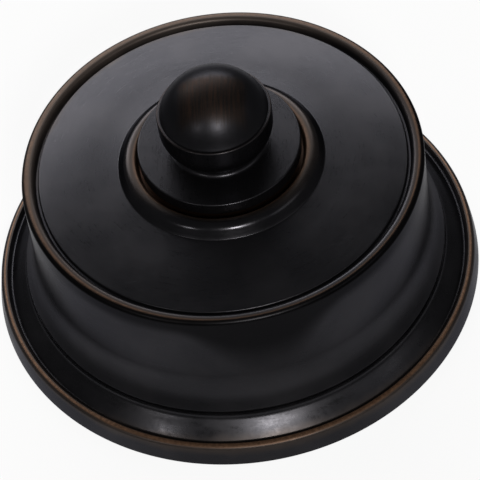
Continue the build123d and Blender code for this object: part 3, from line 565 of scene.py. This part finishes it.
insideParts = {
    "blackMoulding": {
        "nodes": ["insulating_base", "terminal_block"],
        "tones": [(0.018, 0.018, 0.020), (0.034, 0.033, 0.034)],
        "cloud": 0.25, "grain": 4.5, "draw": (1, 1, 1), "mark": 0.18, "markTone": (0.07, 0.065, 0.06),
        "roughness": 0.46, "spread": 0.16, "relief": 0.30, "shine": {"IOR": 1.55},
    },
    "insertNylon": {
        "nodes": ["knob_insert"],
        "tones": [(0.055, 0.055, 0.056), (0.09, 0.09, 0.09)],
        "cloud": 0.4, "grain": 6.0, "draw": (1, 1, 0.2), "mark": 0.12, "markTone": (0.14, 0.14, 0.14),
        "roughness": 0.42, "spread": 0.12, "relief": 0.15, "shine": {"IOR": 1.53},
    },
    "zincSteel": {
        "nodes": ["shaft", "shaft_circlip", "frame_screws", "triac_screw", "triac_nut", "terminal_screws",
                  "bush_washer"],
        "tones": [(0.50, 0.50, 0.51), (0.62, 0.62, 0.61)],
        "cloud": 0.6, "grain": 7.0, "draw": (1, 1, 0.15), "mark": 0.30, "markTone": (0.40, 0.38, 0.33),
        "roughness": 0.30, "spread": 0.18, "relief": 0.12, "shine": {"Metallic": 1.0},
    },
    "tinnedCan": {
        "nodes": ["potentiometer_can"],
        "tones": [(0.54, 0.54, 0.54), (0.66, 0.66, 0.65)],
        "cloud": 0.3, "grain": 5.0, "draw": (1, 1, 0.08), "mark": 0.35, "markTone": (0.44, 0.44, 0.43),
        "roughness": 0.26, "spread": 0.16, "relief": 0.10, "shine": {"Metallic": 1.0},
    },
    "turnedBrass": {
        "nodes": ["threaded_bush", "bush_nut", "cover_ring_nut", "plate_pillars", "terminal_cages"],
        "tones": [(0.60, 0.42, 0.17), (0.74, 0.56, 0.27)],
        "cloud": 0.5, "grain": 6.5, "draw": (0.3, 0.3, 2.0), "mark": 0.40, "markTone": (0.36, 0.23, 0.09),
        "roughness": 0.30, "spread": 0.18, "relief": 0.18, "shine": {"Metallic": 1.0},
    },
    "springBronze": {
        "nodes": ["wiper_contact", "moving_contact", "fixed_contacts"],
        "tones": [(0.60, 0.38, 0.22), (0.72, 0.50, 0.32)],
        "cloud": 0.7, "grain": 8.0, "draw": (1, 0.12, 1), "mark": 0.30, "markTone": (0.40, 0.23, 0.13),
        "roughness": 0.28, "spread": 0.16, "relief": 0.10, "shine": {"Metallic": 1.0},
    },
    "rolledAluminium": {
        "nodes": ["heat_sink_plate"],
        "tones": [(0.66, 0.67, 0.68), (0.78, 0.79, 0.80)],
        "cloud": 0.12, "grain": 5.0, "draw": (0.06, 1.6, 1), "mark": 0.45, "markTone": (0.52, 0.53, 0.54),
        "roughness": 0.34, "spread": 0.16, "relief": 0.16, "shine": {"Metallic": 1.0},
    },
    "switchMoulding": {
        "nodes": ["switch_housing", "rotor"],
        "tones": [(0.034, 0.034, 0.038), (0.056, 0.055, 0.060)],
        "cloud": 0.4, "grain": 5.5, "draw": (1, 1, 1), "mark": 0.15, "markTone": (0.10, 0.10, 0.10),
        "roughness": 0.44, "spread": 0.14, "relief": 0.25, "shine": {"IOR": 1.52},
    },
    "naturalAcetal": {
        "nodes": ["switch_plunger"],
        "tones": [(0.68, 0.66, 0.58), (0.78, 0.76, 0.70)],
        "cloud": 0.5, "grain": 6.0, "draw": (1, 1, 0.3), "mark": 0.20, "markTone": (0.58, 0.54, 0.44),
        "roughness": 0.36, "spread": 0.10, "relief": 0.08, "shine": {"IOR": 1.48},
    },
    "mouldedPackage": {
        "nodes": ["triac"],
        "tones": [(0.028, 0.028, 0.031), (0.048, 0.047, 0.050)],
        "cloud": 0.6, "grain": 9.0, "draw": (1, 1, 1), "mark": 0.25, "markTone": (0.09, 0.09, 0.09),
        "roughness": 0.52, "spread": 0.14, "relief": 0.35, "shine": {"IOR": 1.55},
    },
    "coatedFerrite": {
        "nodes": ["choke_core"],
        "tones": [(0.070, 0.068, 0.070), (0.115, 0.112, 0.112)],
        "cloud": 0.7, "grain": 3.5, "draw": (1, 1, 1), "mark": 0.35, "markTone": (0.17, 0.16, 0.155),
        "roughness": 0.62, "spread": 0.16, "relief": 0.60, "shine": {"IOR": 1.6},
    },
    "enamelledWire": {
        "nodes": ["choke_winding"],
        "tones": [(0.46, 0.15, 0.055), (0.66, 0.28, 0.12)],
        "cloud": 0.8, "grain": 5.0, "draw": (1, 1, 1), "mark": 0.35, "markTone": (0.28, 0.08, 0.03),
        "roughness": 0.24, "spread": 0.14, "relief": 0.10,
        "shine": {"Metallic": 1.0, "Coat Weight": 0.6, "Coat Roughness": 0.12},
    },
    "yellowBox": {
        "nodes": ["film_capacitor"],
        "tones": [(0.66, 0.46, 0.05), (0.78, 0.60, 0.12)],
        "cloud": 0.3, "grain": 5.5, "draw": (1, 1, 1), "mark": 0.15, "markTone": (0.50, 0.32, 0.04),
        "roughness": 0.30, "spread": 0.14, "relief": 0.15, "shine": {"IOR": 1.55},
    },
    "blueBox": {
        "nodes": ["timing_capacitor"],
        "tones": [(0.10, 0.17, 0.38), (0.16, 0.25, 0.48)],
        "cloud": 0.5, "grain": 5.5, "draw": (1, 1, 1), "mark": 0.15, "markTone": (0.07, 0.11, 0.26),
        "roughness": 0.30, "spread": 0.14, "relief": 0.15, "shine": {"IOR": 1.55},
    },
}
surface = {
    "cloudDetail": 4.0, "grainDetail": 4.0, "grainRoughness": 0.6,
    "toneStep": (0.32, 0.68), "markStep": (0.48, 0.74),
    "bumpDepth": 0.00005,                              # metres
}


def insideFinish(name, spec):
    # two tones clouded together, with a grain drawn out the way the part was drawn, turned or rolled
    material, board, shader = newFinish(name, spec["shine"])
    place = placeOf(board).vector
    drawn = board.stretch(place, spec["draw"])
    cloud = board.noise(place, spec["cloud"], surface["cloudDetail"])
    grain = board.noise(drawn, spec["grain"], surface["grainDetail"], surface["grainRoughness"])
    tone = board.blend(board.step(cloud, *surface["toneStep"]), *spec["tones"])
    tone = board.blend(board.step(grain, *surface["markStep"]) * spec["mark"], tone, spec["markTone"])
    board.feed(shader.inputs["Base Color"], tone)
    board.feed(shader.inputs["Roughness"], spec["roughness"] + (cloud + grain - 1.0) * spec["spread"])
    board.feed(shader.inputs["Normal"], board.bump(grain, spec["relief"], surface["bumpDepth"]))
    return material


def dress(node, finish):
    for holder in nodes[node].material_slots:
        holder.material = finish


insideFinishes = {name: insideFinish(name, spec) for name, spec in insideParts.items()}
for name, spec in insideParts.items():
    for node in spec["nodes"]:
        dress(node, insideFinishes[name])


# Return spring: a coil in the place of the switch_spring part

springShape = {"wire": 0.4, "diameter": 4.6, "turns": 4, "stepsPerTurn": 40, "sides": 12}
springLow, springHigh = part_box("switch_spring")
wireRadius = springShape["wire"] / 2 / millimetres
coilRadius = springShape["diameter"] / 2 / millimetres - wireRadius
coilTree, board = newTree("coiledSpring", {})
path = board.add("GeometryNodeCurveSpiral", None, {
    "Resolution": springShape["stepsPerTurn"], "Rotations": springShape["turns"],
    "Start Radius": coilRadius, "End Radius": coilRadius,
    "Height": springHigh.z - springLow.z - 2 * wireRadius,
})
wire = board.add(
    "GeometryNodeCurvePrimitiveCircle", {"mode": "RADIUS"},
    {"Resolution": springShape["sides"], "Radius": wireRadius},
)
skin = board.add("GeometryNodeCurveToMesh", None, {"Curve": path, "Profile Curve": wire, "Fill Caps": True})
skin = board.add(
    "GeometryNodeTransform", None, {"Geometry": skin, "Translation": (0, 0, springLow.z + wireRadius)}
)
endTree(board, smoothed(board, skin), insideFinishes["zincSteel"])
carrier = linked("springCarrier", bpy.data.meshes.new("springCarrier"))
carrier.modifiers.new("coiled", "NODES").node_group = coilTree
spring = madePlain("coiled_switch_spring", carrier)
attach(spring, "base")
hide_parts("switch_spring")
travel = next(joint["range_m"][1] for joint in frame["joints"] if joint["name"] == "plunger_push")
1 - travel / (springHigh.z - springLow.z)
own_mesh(spring)
print(spring.name, len(spring.data.polygons), "faces")


# Circuit board: green resist over a laminate, with the copper runs showing through as paler lines

resist = {
    "green": (0.030, 0.105, 0.035), "run": (0.075, 0.200, 0.075), "edge": (0.30, 0.26, 0.14),
    "runPitch": 0.34, "runStep": (0.16, 0.11), "jitter": 0.55, "runShare": 0.6, "flat": (1, 1, 0),
    "weave": (2.6, 2.0), "weaveDraw": (1, 1, 0.2), "weaveShare": 0.5, "edgeStep": (0.05, 0.12),
    "roughness": 0.30, "runRoughness": 0.06, "weaveRoughness": 0.12, "relief": 0.25, "runRelief": 0.6,
    "weaveRelief": 0.4, "shine": {"IOR": 1.5, "Coat Weight": 0.3},
}
material, board, shader = newFinish("greenBoard", resist["shine"])
spot = placeOf(board)
cells = board.add(
    "ShaderNodeTexVoronoi", {"feature": "DISTANCE_TO_EDGE"},
    {"Vector": board.stretch(spot.vector, resist["flat"]), "Scale": resist["runPitch"],
     "Randomness": resist["jitter"]},
)
runs = board.step(cells, *resist["runStep"])
weave = board.noise(board.stretch(spot.vector, resist["weaveDraw"]), *resist["weave"])
tone = board.blend(runs * (resist["runShare"] + resist["weaveShare"] * weave), resist["green"], resist["run"])
low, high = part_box("circuit_board")
middle, halfThick = (low.z + high.z) / 2 * millimetres, (high.z - low.z) / 2 * millimetres
side = board.step(abs(spot.z - middle), *(halfThick - inset for inset in resist["edgeStep"]))
tone = board.blend(side, tone, resist["edge"])
board.feed(shader.inputs["Base Color"], tone)
rough = resist["roughness"] + runs * resist["runRoughness"] + (weave - 0.5) * resist["weaveRoughness"]
board.feed(shader.inputs["Roughness"], rough)
height = runs * resist["runRelief"] + weave * resist["weaveRelief"]
board.feed(shader.inputs["Normal"], board.bump(height, resist["relief"], surface["bumpDepth"]))
dress("circuit_board", material)


# Track wafer: brown paper laminate with the black printed track as a ring

track = {
    "paper": (0.25, 0.125, 0.055), "paperPale": (0.36, 0.20, 0.10), "carbon": (0.018, 0.018, 0.019),
    "fibre": (2.4, 4.0), "fibreDraw": (0.5, 2.0, 1), "fibreStep": (0.3, 0.7),
    "inner": (4.54, 4.66), "outer": (7.06, 6.94), "carbonShare": 0.8, "fibreShare": 0.25, "roughness": 0.5,
    "fibreRoughness": 0.2, "carbonPolish": 0.12, "relief": 0.2, "fibreRelief": 0.5, "ringRelief": 0.5,
    "shine": {"IOR": 1.5},
}
material, board, shader = newFinish("printedWafer", track["shine"])
spot = placeOf(board)
fibre = board.noise(board.stretch(spot.vector, track["fibreDraw"]), *track["fibre"])
tone = board.blend(board.step(fibre, *track["fibreStep"]), track["paper"], track["paperPale"])
ring = board.step(spot.radius, *track["inner"]) * board.step(spot.radius, *track["outer"])
tone = board.blend(ring * (track["carbonShare"] + track["fibreShare"] * fibre), tone, track["carbon"])
board.feed(shader.inputs["Base Color"], tone)
rough = track["roughness"] + (fibre - 0.5) * track["fibreRoughness"] - ring * track["carbonPolish"]
board.feed(shader.inputs["Roughness"], rough)
height = fibre * track["fibreRelief"] + ring * track["ringRelief"]
board.feed(shader.inputs["Normal"], board.bump(height, track["relief"], surface["bumpDepth"]))
dress("track_wafer", material)


# Resistors: tan lacquer with colour rings along the body, tinned leads past its ends

bands = {
    "middle": -8.5, "lacquer": (0.50, 0.36, 0.20), "lacquerPale": (0.60, 0.46, 0.28),
    "cloud": (1.1, 4.0), "cloudStep": (0.3, 0.7), "lead": (0.60, 0.60, 0.58), "leadStep": (3.14, 3.17),
    "rings": [(-2.2, (0.30, 0.13, 0.05)), (-1.1, (0.02, 0.02, 0.02)), (0.0, (0.62, 0.42, 0.04)),
              (1.9, (0.52, 0.38, 0.12))],
    "ringStep": (0.32, 0.24), "ringRagged": 0.12, "roughness": 0.36, "spread": 0.16, "relief": 0.15,
    "shine": {"IOR": 1.5},
}
material, board, shader = newFinish("bandedResistor", bands["shine"])
spot = placeOf(board)
cloud = board.noise(spot.vector, *bands["cloud"])
tone = board.blend(board.step(cloud, *bands["cloudStep"]), bands["lacquer"], bands["lacquerPale"])
along = spot.y - bands["middle"]
for centre, colour in bands["rings"]:
    away = abs(along - centre) + (cloud - 0.5) * bands["ringRagged"]
    tone = board.blend(board.step(away, *bands["ringStep"]), tone, colour)
lead = board.step(abs(along), *bands["leadStep"])
tone = board.blend(lead, tone, bands["lead"])
board.feed(shader.inputs["Base Color"], tone)
board.feed(shader.inputs["Metallic"], lead)
board.feed(shader.inputs["Roughness"], bands["roughness"] + (cloud - 0.5) * bands["spread"])
board.feed(shader.inputs["Normal"], board.bump(cloud, bands["relief"], surface["bumpDepth"]))
dress("resistors", material)
print("inside parts dressed")


# Camera, from the edges seen in the photograph

view = {
    "elevation": 51.5, "roll": 9.054, "distance": 0.525594, "sideways": 0.000925, "upward": 0.00444,
    "focalPixels": 3000, "framePixels": 480, "sensor": 36, "clipStart": 0.01,
}
elevation = math.radians(view["elevation"])
roll = math.radians(view["roll"])
back = Vector((0, -math.cos(elevation), math.sin(elevation)))
right = Vector((1, 0, 0))
up = Vector((0, math.sin(elevation), math.cos(elevation)))
imageRight = math.cos(roll) * right - math.sin(roll) * up
imageUp = math.sin(roll) * right + math.cos(roll) * up
lens = bpy.data.cameras.new("photoCamera")
lens.sensor_width = view["sensor"]
lens.lens = view["sensor"] * view["focalPixels"] / view["framePixels"]
lens.clip_start = view["clipStart"]
camera = linked("photoCamera", lens)
place = view["sideways"] * right + view["upward"] * up + view["distance"] * back
camera.matrix_world = Matrix((
    (imageRight.x, imageUp.x, back.x, place.x),
    (imageRight.y, imageUp.y, back.y, place.y),
    (imageRight.z, imageUp.z, back.z, place.z),
    (0, 0, 0, 1),
))
bpy.context.scene.camera = camera


# Floor, lights and world

studio = {
    "floor": (0.80, 0.80, 0.80),
    "floorRoughness": 0.9,
    "floorSize": 4.0,
    "floorDrop": 0.0001,                               # metres under the object
    "shadowShare": 0.1,                                # the floor's own shading in the picture
    "mirrorShadow": 0.6,                               # and as the metal sees it
    "glowSides": (14.0, 30.0),                         # millimetres, painted reflection: where the metal sees the floor fully white
    "glowFront": (-5.0, -12.0),
    "glowReach": (58.0, 49.0),
    "mirrorDarkEdge": (50.0, 72.0),                          # painted reflection: past this to either side the metal sees the floor darken
    "mirrorDarkShare": 0.75,
    "world": 0.12,
    "aim": (0, 0, 0.025),
    "lights": [
        {"name": "frontLamp", "azimuth": 5, "elevation": 40, "distance": 0.8, "size": (0.12, 0.12),
         "power": 3.3, "tint": (1.0, 0.98, 0.94)},
        {"name": "leftLamp", "azimuth": -45, "elevation": 32, "distance": 0.8, "size": (0.08, 0.08),
         "power": 0.5, "tint": (1.0, 0.98, 0.94)},
        {"name": "rightCard", "azimuth": 60, "elevation": 35, "distance": 0.8, "size": (0.4, 0.25),
         "power": 0.28, "tint": (1, 1, 1)},
        {"name": "backStrip", "azimuth": 187, "elevation": 34, "distance": 0.9, "size": (1.05, 0.3),
         "power": 7.2, "tint": (1, 1, 1)},
    ],
}


def lamp(spec):
    # azimuth is seen from above: 0 in front, 90 to the right; the lamp faces the object
    turn = math.radians(spec["azimuth"])
    rise = math.radians(spec["elevation"])
    direction = Vector((math.sin(turn) * math.cos(rise), -math.cos(turn) * math.cos(rise), math.sin(rise)))
    light = bpy.data.lights.new(spec["name"], "AREA")
    light.shape = "RECTANGLE"
    light.size, light.size_y = spec["size"]
    light.energy = spec["power"]
    light.color = spec["tint"]
    holder = linked(spec["name"], light)
    stand = Matrix.Translation(Vector(studio["aim"]) + direction * spec["distance"])
    holder.matrix_world = stand @ direction.to_track_quat("Z", "Y").to_matrix().to_4x4()
    holder.visible_camera = False


for spec in studio["lights"]:
    lamp(spec)

half, drop = studio["floorSize"] / 2, studio["floorDrop"]
floorCorners = [(-half, -half, -drop), (half, -half, -drop), (half, half, -drop), (-half, half, -drop)]
floorMesh = bpy.data.meshes.new("floor")
floorMesh.from_pydata(floorCorners, [], [(0, 1, 2, 3)])
floor = linked("floor", floorMesh)
floorFinish, board, shader = newFinish(
    "paleFloor", {"Base Color": studio["floor"], "Roughness": studio["floorRoughness"]}
)
rays = board.add("ShaderNodeLightPath").socket.node.outputs
seen = Value(board, rays["Is Camera Ray"])
mirrored = board.largest(Value(board, rays["Is Glossy Ray"]), Value(board, rays["Is Transmission Ray"]))
spot = placeOf(board)
# painted reflection: as the metal sees it, the floor is fully white near the object at the sides and front,
# and black far to either side
sideways = abs(spot.x)
paintedWhite = board.step(sideways, *studio["glowSides"]) * board.step(spot.y, *studio["glowFront"])
paintedWhite = paintedWhite * board.step(spot.radius, *studio["glowReach"])
share = board.largest(
    seen * (1 - studio["shadowShare"]), mirrored * (1 - studio["mirrorShadow"] * (1 - paintedWhite))
)
white = board.add("ShaderNodeEmission", None, {"Color": (1.0, 1.0, 1.0), "Strength": 1.0})
unlit = board.add("ShaderNodeEmission", None, {"Color": (0.0, 0.0, 0.0), "Strength": 0.0})
mixed = board.add("ShaderNodeMixShader", None, {0: share, 1: Value(board, shader.outputs[0]), 2: white})
# painted reflection: far to either side the floor turns black in the metal only
past = mirrored * board.step(sideways, *studio["mirrorDarkEdge"]) * studio["mirrorDarkShare"]
mixed = board.add("ShaderNodeMixShader", None, {0: past, 1: mixed, 2: unlit})
board.feed(board.tree.nodes["Material Output"].inputs["Surface"], mixed)
floorMesh.materials.append(floorFinish)

world = bpy.data.worlds.new("studioWorld")
bpy.context.scene.world = world
world.use_nodes = True
board = Board(world.node_tree)
background = world.node_tree.nodes["Background"]
seen = Value(board, board.add("ShaderNodeLightPath").socket.node.outputs["Is Camera Ray"])
board.feed(background.inputs["Color"], (1, 1, 1))
board.feed(background.inputs["Strength"], seen * (1 - studio["world"]) + studio["world"])
bpy.context.scene.view_settings.view_transform = "Standard"
print("camera, lights and floor placed")
